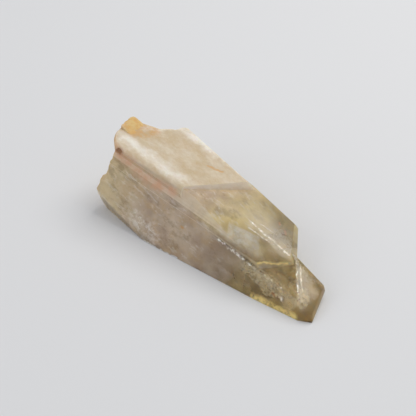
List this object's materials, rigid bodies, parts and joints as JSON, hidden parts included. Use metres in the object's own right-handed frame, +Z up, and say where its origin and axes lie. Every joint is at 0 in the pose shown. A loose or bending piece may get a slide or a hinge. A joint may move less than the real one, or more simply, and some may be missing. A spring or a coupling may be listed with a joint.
{
  "type": "citrine crystal point",
  "caption": "Natural citrine point lying on its side: smoky-gold quartz crystals grown together, with a wedge tip, stepped facets, a frosted top and a rough broken end.",
  "frame": {"origin": "under the middle of the crystal's bounding box, on the flat face it rests on", "axes": "+X runs along the crystal's length from the broken end toward the tip, +Y to the back long side, +Z up as it lies"},
  "size_m": [0.0612, 0.0242, 0.016],
  "materials": {
    "citrine": "clear smoky gold toward the tip, cloudy toward the broken end, frosted cream top, iron-stained ridges"
  },
  "bodies": {
    "root": {"citrine_point": "citrine"}
  },
  "joints": []
}
